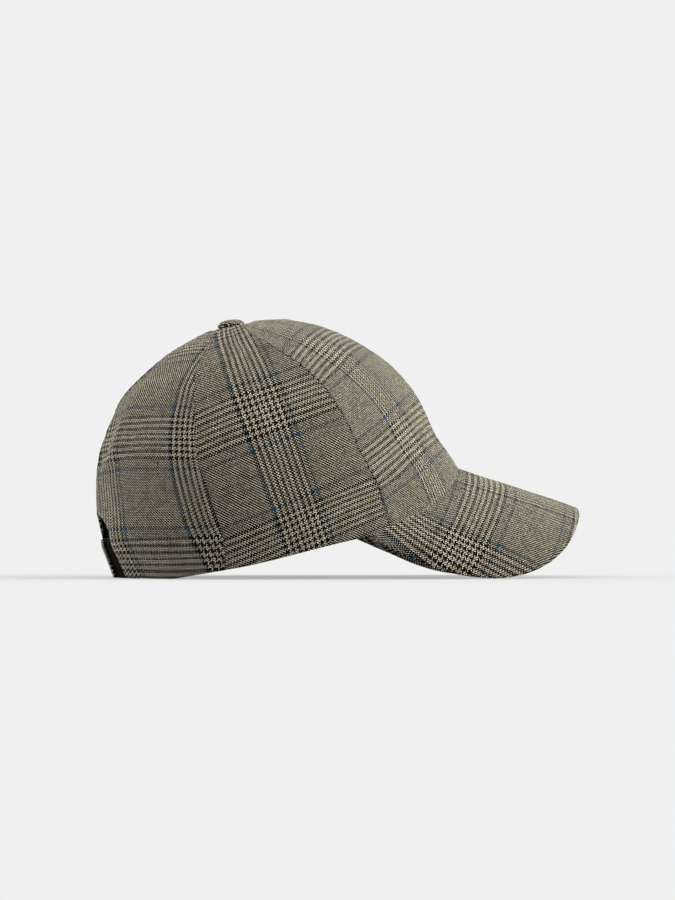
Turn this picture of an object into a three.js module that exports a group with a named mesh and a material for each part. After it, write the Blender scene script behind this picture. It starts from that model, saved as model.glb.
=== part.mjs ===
// A six-panel baseball cap in checked cloth, with a curved peak, a covered top button,
// a sweatband and a two-part strap across the arched opening at the back.
// Millimetres, +Z up, the peak towards +X. The cap stands by itself on its rear rim and
// on both edges of the peak, and the origin is under the middle of its bounding box.

import * as THREE from "three";

// Crown, in its own frame: the rim lies in the plane z = 0 and the top button is at x = y = 0.
const CROWN_HEIGHT = 134.4;
const FRONT_REACH = 113.5;
const BACK_REACH = 101;
const HALF_WIDTH = 81;
const CLOTH_THICKNESS = 1.6;
const SEAM_GAP = 0.4;
const TOP_HOLE_RADIUS = 3.5;
const FRONT_RIM_RISE = 28.4;
const REAR_CONTACT = 68; // distance behind the button where the rim starts to lie on the floor
const FACET_DEPTH = 2.4; // how far the middle of a panel is drawn in from a round shape

// Pieces that are sewn or laid together keep this clearance.
const PIECE_GAP = 0.3;

// Opening at the back and its binding tape.
const ARCH_HALF_WIDTH = 24;
const ARCH_SPRING = 28;
const ARCH_RISE = 18.5;
const BINDING_WIDTH = 8;
const BINDING_THICKNESS = 0.9;

// Strap across the opening.
const STRAP_TOP = 31.5;
const STRAP_THICKNESS = 1.3;
const STRAP_TUCK = 9;
const STRAP_OVERLAP = 5; // how far the outer strap reaches past the middle of the back

// Sweatband.
const SWEATBAND_HEIGHT = 30;
const SWEATBAND_THICKNESS = 1.3;

// Peak: a flat crescent bent round a cylinder whose axis slopes down to the front.
const PEAK_LENGTH = 73;
const PEAK_HALF_SPAN = 104.5; // from the middle to the side, along the curve
const PEAK_CURVE_RADIUS = 75;
const PEAK_PITCH = THREE.MathUtils.degToRad(30.5);
const PEAK_THICKNESS = 3.2;
const PEAK_CORNER_AZIMUTH = 68;
const PEAK_CORNER_WIDTH = 2; // least width of the peak at its corner

// Button.
const BUTTON_DIAMETER = 15.4;
const BUTTON_HEIGHT = 5;
const BUTTON_LEAN = THREE.MathUtils.degToRad(5); // towards the front
const BUTTON_SHANK_DEPTH = 3.2;

// Outer edge of the flat crescent at even steps from the middle of its front to its corner.
// across is a share of PEAK_HALF_SPAN and ahead a share of PEAK_LENGTH.
const PEAK_EDGE = [
  { across: 0.0, ahead: 1.0 },
  { across: 0.154, ahead: 0.996 },
  { across: 0.308, ahead: 0.977 },
  { across: 0.459, ahead: 0.944 },
  { across: 0.606, ahead: 0.889 },
  { across: 0.74, ahead: 0.789 },
  { across: 0.847, ahead: 0.644 },
  { across: 0.922, ahead: 0.466 },
  { across: 0.967, ahead: 0.263 },
  { across: 0.99, ahead: 0.053 },
  { across: 0.988, ahead: -0.159 },
  { across: 0.975, ahead: -0.37 },
  { across: 0.957, ahead: -0.582 },
];

// Sections of the crown from the rim to the button. rise is a share of CROWN_HEIGHT, front,
// back and side are shares of the three reaches, and the two seam columns are azimuths in
// degrees from the front: 0 is the middle of the front and 180 the middle of the back.
const SECTIONS = [
  { rise: 0.0, front: 1.0, back: 0.931, side: 0.978, frontSeam: 61, backSeam: 116 },
  { rise: 0.074, front: 0.996, back: 0.955, side: 0.99, frontSeam: 61.4, backSeam: 114.5 },
  { rise: 0.149, front: 0.986, back: 0.98, side: 0.998, frontSeam: 61.6, backSeam: 113.3 },
  { rise: 0.231, front: 0.959, back: 1.0, side: 1.0, frontSeam: 61.1, backSeam: 113.3 },
  { rise: 0.372, front: 0.893, back: 0.96, side: 0.985, frontSeam: 62.2, backSeam: 115.3 },
  { rise: 0.491, front: 0.863, back: 0.928, side: 0.951, frontSeam: 63.2, backSeam: 117.2 },
  { rise: 0.61, front: 0.809, back: 0.869, side: 0.886, frontSeam: 64.6, backSeam: 117.5 },
  { rise: 0.714, front: 0.731, back: 0.78, side: 0.793, frontSeam: 66.4, backSeam: 117.7 },
  { rise: 0.811, front: 0.619, back: 0.679, side: 0.667, frontSeam: 70.3, backSeam: 118.6 },
  { rise: 0.884, front: 0.512, back: 0.528, side: 0.531, frontSeam: 75, backSeam: 119.5 },
  { rise: 0.942, front: 0.391, back: 0.382, side: 0.38, frontSeam: 80, backSeam: 121.5 },
  { rise: 0.982, front: 0.264, back: 0.223, side: 0.237, frontSeam: 81, backSeam: 123 },
  { rise: 1.0, front: 0.128, back: 0.124, side: 0.136, frontSeam: 81, backSeam: 123 },
  { rise: 0.983, front: 0.062, back: 0.069, side: 0.079, frontSeam: 81, backSeam: 123 },
  { rise: 0.978, front: 0.0, back: 0.0, side: 0.0, frontSeam: 81, backSeam: 123 },
];

// Height of the rim's edge over the plane of the crown's frame, as a share of FRONT_RIM_RISE.
const RIM_LINE = [
  { azimuth: 0, rise: 1.0 },
  { azimuth: 8, rise: 0.975 },
  { azimuth: 22, rise: 0.82 },
  { azimuth: 33, rise: 0.64 },
  { azimuth: 40.5, rise: 0.505 },
  { azimuth: 47.6, rise: 0.385 },
  { azimuth: 55.8, rise: 0.31 },
  { azimuth: 62.3, rise: 0.23 },
  { azimuth: 67, rise: 0.14 },
  { azimuth: 72, rise: 0.125 },
  { azimuth: 83, rise: 0.115 },
  { azimuth: 90, rise: 0.1 },
  { azimuth: 98, rise: 0.08 },
  { azimuth: 108, rise: 0.07 },
  { azimuth: 118, rise: 0.085 },
  { azimuth: 133, rise: 0.11 },
  { azimuth: 180, rise: 0.11 },
];

// A soft fold in the right back panel, which runs down from the top towards the middle of
// the back. height is how far the cloth stands out along it, in millimetres.
const FOLD_WIDTH = 9;
const FOLD = [
  { rise: 0.92, azimuth: 156, height: 0.0 },
  { rise: 0.83, azimuth: 157, height: 1.3 },
  { rise: 0.74, azimuth: 157, height: 1.9 },
  { rise: 0.675, azimuth: 159, height: 2.1 },
  { rise: 0.604, azimuth: 160, height: 2.0 },
  { rise: 0.561, azimuth: 164, height: 1.4 },
  { rise: 0.51, azimuth: 172, height: 0.0 },
];

const DEGREES = Math.PI / 180;

// Smooth curve through evenly spaced values, at a place from 0 to values.length - 1.
function throughValues(values, place) {
  const last = values.length - 1;
  const k = Math.min(Math.max(Math.floor(place), 0), last - 1);
  const t = place - k;
  const before = k > 0 ? values[k - 1] : 2 * values[0] - values[1];
  const after = k + 2 <= last ? values[k + 2] : 2 * values[last] - values[last - 1];
  const [a, b] = [values[k], values[k + 1]];
  const startSlope = (b - before) / 2;
  const endSlope = (after - a) / 2;
  return (
    a * (1 - 3 * t * t + 2 * t * t * t) +
    b * (3 * t * t - 2 * t * t * t) +
    startSlope * (t - 2 * t * t + t * t * t) +
    endSlope * (t * t * t - t * t)
  );
}

// One column of SECTIONS at level 0 (rim) to 1 (button).
function section(column, level) {
  return throughValues(
    SECTIONS.map((row) => row[column]),
    level * (SECTIONS.length - 1),
  );
}

// The seams' azimuths at a level, from the middle of the front to the middle of the back.
function seamAzimuths(level) {
  return [0, section("frontSeam", level), section("backSeam", level), 180];
}

// Round shape of the crown at an azimuth in degrees, which is negative on the right side.
function roundShape(azimuth, level) {
  const angle = azimuth * DEGREES;
  const ahead = Math.cos(angle) > 0;
  const reach = ahead
    ? FRONT_REACH * section("front", level)
    : BACK_REACH * section("back", level);
  return new THREE.Vector3(
    reach * Math.cos(angle),
    HALF_WIDTH * section("side", level) * Math.sin(angle),
    CROWN_HEIGHT * section("rise", level),
  );
}

// Outward direction of the round shape, from two small steps along it.
function outward(azimuth, level) {
  const stepAzimuth = 0.5;
  const stepLevel = 0.004;
  const low = Math.max(level - stepLevel, 0);
  const high = Math.min(level + stepLevel, 0.995);
  const across = roundShape(azimuth + stepAzimuth, level).sub(
    roundShape(azimuth - stepAzimuth, level),
  );
  const along = roundShape(azimuth, high).sub(roundShape(azimuth, low));
  return across.cross(along).normalize();
}

// How much the panel around this azimuth is drawn in: nothing at its seams and rim.
function facetInset(azimuth, level) {
  const seams = seamAzimuths(level);
  const size = Math.abs(azimuth);
  const k = size < seams[1] ? 0 : size < seams[2] ? 1 : 2;
  const share = (size - seams[k]) / (seams[k + 1] - seams[k]);
  const alongPanel = Math.sin(Math.PI * Math.min(level * 1.05, 1)) ** 1.5;
  return FACET_DEPTH * 4 * share * (1 - share) * alongPanel;
}

// How far the fold lifts the cloth: a ridge along the fold with a hollow behind it.
function foldLift(azimuth, level) {
  const rise = section("rise", level);
  const k = FOLD.findIndex((row) => row.rise < rise) - 1;
  if (azimuth > 0 || k < 0) return 0;
  const [a, b] = [FOLD[k], FOLD[k + 1]];
  const t = (a.rise - rise) / (a.rise - b.rise);
  const foldAzimuth = THREE.MathUtils.lerp(a.azimuth, b.azimuth, t);
  const reach = HALF_WIDTH * section("side", level);
  const beside = ((-azimuth - foldAzimuth) * DEGREES * reach) / FOLD_WIDTH;
  const height = THREE.MathUtils.lerp(a.height, b.height, t);
  return height * (Math.exp(-beside * beside) - 0.8 * Math.exp(-((beside - 1.6) ** 2)));
}

// Point of the crown's cloth at a depth below its outer face.
function crownPoint(azimuth, level, depth) {
  const inset = facetInset(azimuth, level) + depth - foldLift(azimuth, level);
  return roundShape(azimuth, level).addScaledVector(outward(azimuth, level), -inset);
}

// Height of the rim's edge at an azimuth.
function rimRise(azimuth) {
  const size = Math.abs(azimuth);
  const last = RIM_LINE[RIM_LINE.length - 1];
  if (size >= last.azimuth) return FRONT_RIM_RISE * last.rise;
  const k = RIM_LINE.findIndex((row) => row.azimuth > size) - 1;
  const [a, b] = [RIM_LINE[k], RIM_LINE[k + 1]];
  const t = (size - a.azimuth) / (b.azimuth - a.azimuth);
  return FRONT_RIM_RISE * THREE.MathUtils.lerp(a.rise, b.rise, t);
}

// Level, from 0 to 1, where the crown passes a condition that is false at the rim.
function levelWhere(passed) {
  let [low, high] = [0, 1];
  for (let step = 0; step < 40; step += 1) {
    const middle = (low + high) / 2;
    if (passed(middle)) high = middle;
    else low = middle;
  }
  return high;
}

// A closed solid between two grids of points that have the same rows and columns.
function solidBetween(outer, inner) {
  const rows = outer.length;
  const columns = outer[0].length;
  const points = [...outer.flat(), ...inner.flat()];
  const at = (side, row, column) => side * rows * columns + row * columns + column;
  const faces = [];
  const quad = (a, b, c, d) => faces.push([a, b, c], [a, c, d]);
  for (let r = 0; r < rows - 1; r += 1) {
    for (let c = 0; c < columns - 1; c += 1) {
      quad(at(0, r, c), at(0, r, c + 1), at(0, r + 1, c + 1), at(0, r + 1, c));
      quad(at(1, r, c), at(1, r + 1, c), at(1, r + 1, c + 1), at(1, r, c + 1));
    }
    quad(at(0, r, 0), at(0, r + 1, 0), at(1, r + 1, 0), at(1, r, 0));
    const e = columns - 1;
    quad(at(0, r + 1, e), at(0, r, e), at(1, r, e), at(1, r + 1, e));
  }
  for (let c = 0; c < columns - 1; c += 1) {
    quad(at(0, 0, c + 1), at(0, 0, c), at(1, 0, c), at(1, 0, c + 1));
    const e = rows - 1;
    quad(at(0, e, c), at(0, e, c + 1), at(1, e, c + 1), at(1, e, c));
  }
  const volume = faces.reduce((sum, [a, b, c]) => {
    return sum + points[a].dot(points[b].clone().cross(points[c]));
  }, 0);
  const turned = volume < 0 ? faces.map(([a, b, c]) => [a, c, b]) : faces;
  const geometry = new THREE.BufferGeometry().setFromPoints(points);
  geometry.setIndex(turned.flat());
  geometry.computeVertexNormals();
  return geometry;
}

// count + 1 values from 0 to 1.
function steps(count) {
  return Array.from({ length: count + 1 }, (_, k) => k / count);
}

// Peak

const PEAK_AXIS = new THREE.Vector3(Math.cos(PEAK_PITCH), 0, -Math.sin(PEAK_PITCH));
const PEAK_UP = new THREE.Vector3(Math.sin(PEAK_PITCH), 0, Math.cos(PEAK_PITCH));

// Outer face of the crown's rim over the peak.
function peakRootPoint(azimuth) {
  const level = levelWhere((l) => CROWN_HEIGHT * section("rise", l) > rimRise(azimuth));
  return crownPoint(azimuth, level, 0);
}

const PEAK_ROOT_MIDDLE = peakRootPoint(0);

// Point on the peak's cylinder, across from its middle and ahead of its root.
function onPeakCylinder(across, ahead, depth) {
  const angle = across / PEAK_CURVE_RADIUS;
  const radius = PEAK_CURVE_RADIUS - depth;
  return PEAK_ROOT_MIDDLE.clone()
    .addScaledVector(PEAK_AXIS, ahead)
    .addScaledVector(PEAK_UP, radius * Math.cos(angle) - PEAK_CURVE_RADIUS)
    .add(new THREE.Vector3(0, radius * Math.sin(angle), 0));
}

// How far across and ahead a point lies when it is pressed onto the peak's cylinder.
function pressedOntoPeak(point) {
  const offset = point.clone().sub(PEAK_ROOT_MIDDLE);
  const height = offset.dot(PEAK_UP) + PEAK_CURVE_RADIUS;
  const angle = Math.atan2(offset.y, height);
  return {
    across: PEAK_CURVE_RADIUS * angle,
    ahead: offset.dot(PEAK_AXIS),
    depth: PEAK_CURVE_RADIUS - Math.hypot(offset.y, height),
  };
}

// The peak from its root at 0 to its outer edge at 1, at a station from -1 to 1 across it.
function peakPoint(station, share, depth) {
  const size = Math.abs(station);
  const root = pressedOntoPeak(peakRootPoint(station * PEAK_CORNER_AZIMUTH));
  const place = size * (PEAK_EDGE.length - 1);
  const tableAcross = PEAK_HALF_SPAN * throughValues(PEAK_EDGE.map((row) => row.across), place);
  const edgeAcross = Math.max(tableAcross, Math.abs(root.across) + PEAK_CORNER_WIDTH);
  const edgeAhead = PEAK_LENGTH * throughValues(PEAK_EDGE.map((row) => row.ahead), place);
  const across = THREE.MathUtils.lerp(Math.abs(root.across), edgeAcross, share);
  const ahead = THREE.MathUtils.lerp(root.ahead + PIECE_GAP, edgeAhead, share);
  const lift = root.depth * (1 - share) ** 2;
  return onPeakCylinder(Math.sign(station) * across, ahead, lift + PIECE_GAP + depth);
}

function peak() {
  const layer = (depth) =>
    steps(44).map((s) => steps(8).map((share) => peakPoint(2 * s - 1, share, depth)));
  return solidBetween(layer(0), layer(PEAK_THICKNESS));
}

const peakGeometry = peak();

// Tilt that stands the cap on its rear rim and on the lowest points of the peak.
const REST_TILT = (() => {
  const places = peakGeometry.getAttribute("position");
  let tilt = 0;
  for (let k = 0; k < places.count; k += 1) {
    const drop = rimRise(180) - places.getZ(k);
    tilt = Math.max(tilt, Math.atan2(drop, places.getX(k) + REAR_CONTACT));
  }
  return tilt;
})();

// Height of the floor in the crown's frame.
function floorHeight(x) {
  return rimRise(180) - (x + REAR_CONTACT) * Math.tan(REST_TILT);
}

// Level of the rim's edge in a layer of cloth at a depth below the outer face. The edge is
// flat on the floor at the back, and rises over the root of the peak at the front.
function rimLevel(azimuth, depth) {
  return levelWhere((level) => {
    const point = crownPoint(azimuth, level, depth);
    return point.z > rimRise(azimuth) && point.z > floorHeight(point.x);
  });
}

// Crown panels

// The azimuth a little way round the crown from another, along its surface.
function azimuthBeside(azimuth, level, distance) {
  const step = 0.5;
  const length = roundShape(azimuth + step, level).distanceTo(roundShape(azimuth - step, level));
  return azimuth + (distance * 2 * step) / length;
}

// Half the width of the back opening at a height above the rim, or 0 above it.
function archHalfWidth(height) {
  if (height <= ARCH_SPRING) return ARCH_HALF_WIDTH;
  const share = (height - ARCH_SPRING) / ARCH_RISE;
  return share >= 1 ? 0 : ARCH_HALF_WIDTH * Math.sqrt(1 - share * share);
}

// Azimuth of the crown's outer face at a distance beside the middle of the back.
function azimuthAtSide(distance, level) {
  const width = HALF_WIDTH * section("side", level);
  return 180 - Math.asin(Math.min(distance / width, 1)) / DEGREES;
}

// Levels of a panel's rows above its rim, closer together round the arch.
function panelLevels() {
  const topLevel = levelWhere((l) => HALF_WIDTH * section("side", l) < TOP_HOLE_RADIUS);
  const archHeights = steps(6).map((s) => ARCH_SPRING + ARCH_RISE * Math.sin((s * Math.PI) / 2));
  const heights = [0, ARCH_SPRING * 0.35, ARCH_SPRING * 0.7, ...archHeights];
  const low = heights.map((h) => levelWhere((l) => CROWN_HEIGHT * section("rise", l) >= h));
  const archTop = low[low.length - 1];
  const high = steps(12).slice(1).map((s) => archTop + (topLevel - archTop) * s);
  return [...low, ...high];
}

// Columns of the front, side and back panels.
const PANEL_COLUMNS = [10, 10, 14];

// One panel between seam k and seam k + 1, on the left (side 1) or the right (side -1).
function crownPanel(k, side) {
  const levels = panelLevels();
  const topLevel = levels[levels.length - 1];
  const layer = (depth) =>
    levels.map((rowLevel) =>
      steps(PANEL_COLUMNS[k]).map((share) => {
        let level = rowLevel;
        let azimuth = 0;
        for (let settle = 0; settle < 3; settle += 1) {
          const seams = seamAzimuths(level);
          const height = CROWN_HEIGHT * section("rise", level);
          const open = k === 2 ? archHalfWidth(height) : 0;
          const from = azimuthBeside(seams[k], level, SEAM_GAP / 2);
          const to =
            open > SEAM_GAP / 2
              ? azimuthAtSide(open, level)
              : azimuthBeside(seams[k + 1], level, -SEAM_GAP / 2);
          azimuth = THREE.MathUtils.lerp(from, to, share);
          const bottom = rimLevel(side * azimuth, depth);
          level =
            k === 2
              ? Math.max(rowLevel, bottom + rowLevel * 0.02)
              : bottom + ((topLevel - bottom) * rowLevel) / topLevel;
        }
        return crownPoint(side * azimuth, level, depth);
      }),
    );
  return solidBetween(layer(0), layer(CLOTH_THICKNESS));
}

// Sweatband: one band inside the rim, from one edge of the strap's tuck to the other.
function sweatband() {
  const depth = CLOTH_THICKNESS + PIECE_GAP;
  const end = azimuthAtSide(ARCH_HALF_WIDTH + STRAP_TUCK + 2 * PIECE_GAP, 0.1);
  const layer = (below) =>
    steps(64).map((s) => {
      const azimuth = (2 * s - 1) * end;
      const rimHeight = crownPoint(azimuth, rimLevel(azimuth, below), below).z;
      return steps(3).map((share) => {
        const height = rimHeight + THREE.MathUtils.lerp(PIECE_GAP, SWEATBAND_HEIGHT, share);
        const level = levelWhere((l) => crownPoint(azimuth, l, below).z > height);
        return crownPoint(azimuth, level, below);
      });
    });
  return solidBetween(layer(depth), layer(depth + SWEATBAND_THICKNESS));
}

// Binding tape inside the arch's edge, above the strap and the sweatband.
function archBinding() {
  const depth = CLOTH_THICKNESS + PIECE_GAP;
  const lowest = Math.max(STRAP_TOP, SWEATBAND_HEIGHT) + 2 * PIECE_GAP;
  const start = Math.asin((lowest - ARCH_SPRING) / ARCH_RISE);
  const layer = (below) =>
    steps(24).map((s) => {
      const turn = THREE.MathUtils.lerp(start, Math.PI - start, s);
      return steps(2).map((share) => {
        const wider = share * BINDING_WIDTH;
        const beside = (ARCH_HALF_WIDTH + wider) * Math.cos(turn);
        const height = ARCH_SPRING + (ARCH_RISE + wider) * Math.sin(turn);
        const level = levelWhere((l) => CROWN_HEIGHT * section("rise", l) > height);
        const azimuth = azimuthAtSide(Math.abs(beside), level);
        return crownPoint(Math.sign(beside || 1) * azimuth, level, below);
      });
    });
  return solidBetween(layer(depth), layer(depth + BINDING_THICKNESS));
}

// A strap from under one panel's edge across the back. from and to are distances beside the
// middle of the back, and depthAt gives its depth below the crown's outer face.
function strap(from, to, depthAt, rows) {
  const layer = (thickness) =>
    steps(rows).map((s) => {
      const beside = THREE.MathUtils.lerp(from, to, s);
      return steps(3).map((share) => {
        const depth = depthAt(beside) + thickness;
        let level = 0;
        let azimuth = 180;
        for (let settle = 0; settle < 3; settle += 1) {
          azimuth = Math.sign(beside || 1) * azimuthAtSide(Math.abs(beside), level);
          const bottom = rimLevel(azimuth, depth);
          const top = levelWhere((l) => crownPoint(azimuth, l, depth).z > STRAP_TOP);
          level = THREE.MathUtils.lerp(bottom, top, share);
        }
        return crownPoint(azimuth, level, depth);
      });
    });
  return solidBetween(layer(0), layer(STRAP_THICKNESS));
}

const TUCKED_DEPTH = CLOTH_THICKNESS + PIECE_GAP;

function innerStrap() {
  const from = -(ARCH_HALF_WIDTH + STRAP_TUCK);
  const to = ARCH_HALF_WIDTH - STRAP_TUCK;
  return strap(from, to, () => TUCKED_DEPTH, 14);
}

// The outer strap comes out from under the left panel and steps over the inner strap.
function outerStrap() {
  const from = ARCH_HALF_WIDTH + STRAP_TUCK;
  const depthAt = (beside) => {
    const lifted = THREE.MathUtils.smoothstep(ARCH_HALF_WIDTH - beside, 0, STRAP_TUCK - 1);
    return TUCKED_DEPTH - lifted * (STRAP_THICKNESS + PIECE_GAP);
  };
  return strap(from, -STRAP_OVERLAP, depthAt, 14);
}

// Button: a shallow dome with a short shank through the hole where the panels meet.
function button() {
  const radius = BUTTON_DIAMETER / 2;
  const rimThickness = BUTTON_HEIGHT * 0.3;
  const dome = steps(7).map((s) => {
    const angle = (s * Math.PI) / 2;
    const height = rimThickness + (BUTTON_HEIGHT - rimThickness) * Math.sin(angle);
    return new THREE.Vector2(radius * Math.cos(angle), height);
  });
  const shankRadius = TOP_HOLE_RADIUS * 0.6;
  const profile = [
    new THREE.Vector2(0, -BUTTON_SHANK_DEPTH),
    new THREE.Vector2(shankRadius, -BUTTON_SHANK_DEPTH),
    new THREE.Vector2(shankRadius, 0),
    new THREE.Vector2(radius * 0.97, 0),
    ...dome,
  ];
  profile[profile.length - 1].x = 0;
  return new THREE.LatheGeometry(profile, 32).rotateX(Math.PI / 2);
}

// Height at which the leaning button's flat underside just touches the crown.
function buttonSeat() {
  const radius = BUTTON_DIAMETER / 2;
  let seat = 0;
  for (let azimuth = -180; azimuth < 180; azimuth += 15) {
    for (let level = 0.9; level < 1; level += 0.01) {
      const point = crownPoint(azimuth, level, 0);
      const under = Math.hypot(point.x, point.y) <= radius;
      if (under) seat = Math.max(seat, point.z + point.x * Math.tan(BUTTON_LEAN));
    }
  }
  return seat;
}

// Assembly

const checkedCloth = new THREE.MeshStandardMaterial({ color: "#837c6c", roughness: 0.9 });
const blackTape = new THREE.MeshStandardMaterial({ color: "#17171a", roughness: 0.85 });

const cap = new THREE.Group();

function add(name, geometry, material) {
  const mesh = new THREE.Mesh(geometry, material);
  mesh.name = name;
  cap.add(mesh);
  return mesh;
}

["front", "side", "back"].forEach((place, k) => {
  add(`${place}_panel_right`, crownPanel(k, -1), checkedCloth);
  add(`${place}_panel_left`, crownPanel(k, 1), checkedCloth);
});
add("peak", peakGeometry, checkedCloth);
add("sweatband", sweatband(), blackTape);
add("arch_binding", archBinding(), blackTape);
add("strap_inner", innerStrap(), blackTape);
add("strap_outer", outerStrap(), checkedCloth);
const topButton = add("top_button", button(), checkedCloth);
topButton.rotation.y = BUTTON_LEAN;
topButton.position.z = buttonSeat() + PIECE_GAP;

const standing = new THREE.Group();
standing.add(cap);
cap.rotation.y = -REST_TILT;
const bounds = new THREE.Box3().setFromObject(standing, true);
const middle = bounds.getCenter(new THREE.Vector3());
cap.position.set(-middle.x, -middle.y, -bounds.min.z);

export default standing;
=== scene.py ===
"""A six-panel baseball cap in glen check cloth, on a plain pale floor.

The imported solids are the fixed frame. Every piece is modelled again here at the scale of its
cloth, from the same named sizes, in millimetres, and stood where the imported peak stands.
"""

import bpy
import numpy as np
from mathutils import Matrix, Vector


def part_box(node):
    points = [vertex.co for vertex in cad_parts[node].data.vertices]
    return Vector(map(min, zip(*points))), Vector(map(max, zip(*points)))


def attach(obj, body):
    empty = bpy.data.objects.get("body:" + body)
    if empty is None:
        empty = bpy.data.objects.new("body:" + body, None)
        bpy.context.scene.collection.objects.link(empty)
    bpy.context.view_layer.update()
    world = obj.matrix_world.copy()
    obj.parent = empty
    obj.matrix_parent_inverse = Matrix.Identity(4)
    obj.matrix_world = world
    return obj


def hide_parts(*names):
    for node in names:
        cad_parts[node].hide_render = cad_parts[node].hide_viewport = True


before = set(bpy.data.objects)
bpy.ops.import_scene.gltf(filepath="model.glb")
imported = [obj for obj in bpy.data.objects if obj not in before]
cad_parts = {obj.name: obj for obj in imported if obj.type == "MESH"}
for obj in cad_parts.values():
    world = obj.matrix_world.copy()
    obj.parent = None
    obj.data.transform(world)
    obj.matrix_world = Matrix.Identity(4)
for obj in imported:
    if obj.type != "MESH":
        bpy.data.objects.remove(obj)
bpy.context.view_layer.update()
MM = 0.001

# Camera: the photograph is taken square to the cap's right side, turned a little to its back,
# from just above the floor.
IMAGE_WIDTH = 675
IMAGE_HEIGHT = 900
SENSOR_MM = 36
FOCAL_PIXELS = 5263
CAMERA_DISTANCE = 3.0
CAMERA_TURN = np.radians(-8)
CAMERA_RISE = np.radians(-0.5)
TARGET = np.array([0, 0, 0.0725])
TO_CAMERA = np.array(
    [
        np.sin(CAMERA_TURN) * np.cos(CAMERA_RISE),
        -np.cos(CAMERA_TURN) * np.cos(CAMERA_RISE),
        np.sin(CAMERA_RISE),
    ]
)
CAMERA_PLACE = TARGET + CAMERA_DISTANCE * TO_CAMERA
CAMERA_RIGHT = np.array([np.cos(CAMERA_TURN), np.sin(CAMERA_TURN), 0])
CAMERA_UP = np.cross(CAMERA_RIGHT, -TO_CAMERA)


def pixel_of(points):
    """Column and row in the photograph of points given in metres."""
    offset = points - CAMERA_PLACE
    ahead = offset @ -TO_CAMERA
    column = IMAGE_WIDTH / 2 + FOCAL_PIXELS * (offset @ CAMERA_RIGHT) / ahead
    row = IMAGE_HEIGHT / 2 - FOCAL_PIXELS * (offset @ CAMERA_UP) / ahead
    return np.stack([column, row], axis=-1)


# Crown, in its own frame: the rim lies in the plane z = 0, the top button is at x = y = 0 and
# the peak is towards +x. Millimetres.
CROWN_HEIGHT = 134.4
FRONT_REACH = 113.5
BACK_REACH = 101
HALF_WIDTH = 81
CLOTH_THICKNESS = 1.6
SEAM_GAP = 0.1
TOP_HOLE_RADIUS = 3.5
FRONT_RIM_RISE = 28.4
REAR_CONTACT = 68
FACET_DEPTH = 2.4
PIECE_GAP = 0.3
TUCKED_DEPTH = CLOTH_THICKNESS + PIECE_GAP  # of what lies behind the panels
ARCH_HALF_WIDTH = 24
ARCH_SPRING = 28
ARCH_RISE = 18.5
BINDING_WIDTH = 8
BINDING_THICKNESS = 0.9
STRAP_TOP = 31.5
STRAP_THICKNESS = 1.3
STRAP_TUCK = 9
STRAP_OVERLAP = 5
SWEATBAND_HEIGHT = 30
SWEATBAND_THICKNESS = 1.3
PEAK_LENGTH = 73
PEAK_HALF_SPAN = 104.5
PEAK_CURVE_RADIUS = 75
PEAK_PITCH = np.radians(30.5)
PEAK_THICKNESS = 3.2
PEAK_CORNER_AZIMUTH = 68
PEAK_CORNER_WIDTH = 2
LEFT_CORNER_RAISED = 5  # the photograph shows nothing of the left corner below the right one
LEFT_CORNER_START = 0.55  # share of the way from the middle of the peak to its corner
LEFT_CORNER_LENGTH = 0.3
BUTTON_DIAMETER = 15.4
BUTTON_HEIGHT = 5
BUTTON_LEAN = np.radians(5)
FOLD_WIDTH = 9


def table(columns, rows):
    """A table with named columns, as one array for each column."""
    return dict(zip(columns.split(), np.transpose(np.array(rows, float))))


# Outer edge of the flat peak, at even steps from the middle of its front to its corner, as
# shares of its half span and its length.
PEAK_EDGE = table(
    "across ahead",
    [
        (0.0, 1.0),
        (0.154, 0.996),
        (0.308, 0.977),
        (0.459, 0.944),
        (0.606, 0.889),
        (0.74, 0.789),
        (0.847, 0.644),
        (0.922, 0.466),
        (0.967, 0.263),
        (0.99, 0.053),
        (0.988, -0.159),
        (0.975, -0.37),
        (0.957, -0.582),
    ],
)

# Sections of the crown from the rim to the button: shares of its height and of its three
# reaches, and the azimuths of the two side seams in degrees from the front.
SECTIONS = table(
    "rise front back side front_seam back_seam",
    [
        (0.0, 1.0, 0.931, 0.978, 61, 116),
        (0.074, 0.996, 0.955, 0.99, 61.4, 114.5),
        (0.149, 0.986, 0.98, 0.998, 61.6, 113.3),
        (0.231, 0.959, 1.0, 1.0, 61.1, 113.3),
        (0.372, 0.893, 0.96, 0.985, 62.2, 115.3),
        (0.491, 0.863, 0.928, 0.951, 63.2, 117.2),
        (0.61, 0.809, 0.869, 0.886, 64.6, 117.5),
        (0.714, 0.731, 0.78, 0.793, 66.4, 117.7),
        (0.811, 0.619, 0.679, 0.667, 70.3, 118.6),
        (0.884, 0.512, 0.528, 0.531, 75, 119.5),
        (0.942, 0.391, 0.382, 0.38, 80, 121.5),
        (0.982, 0.264, 0.223, 0.237, 81, 123),
        (1.0, 0.128, 0.124, 0.136, 81, 123),
        (0.983, 0.062, 0.069, 0.079, 81, 123),
        (0.978, 0.0, 0.0, 0.0, 81, 123),
    ],
)
LAST_SECTION = len(SECTIONS["rise"]) - 1

# Height of the rim's edge over the plane of the crown's frame, as a share of FRONT_RIM_RISE.
RIM_LINE = table(
    "azimuth rise",
    [
        (0, 1.0),
        (8, 0.975),
        (22, 0.82),
        (33, 0.64),
        (40.5, 0.505),
        (47.6, 0.385),
        (55.8, 0.31),
        (62.3, 0.23),
        (67, 0.14),
        (72, 0.125),
        (83, 0.115),
        (90, 0.1),
        (98, 0.08),
        (108, 0.07),
        (118, 0.085),
        (133, 0.11),
        (180, 0.11),
    ],
)

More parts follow.
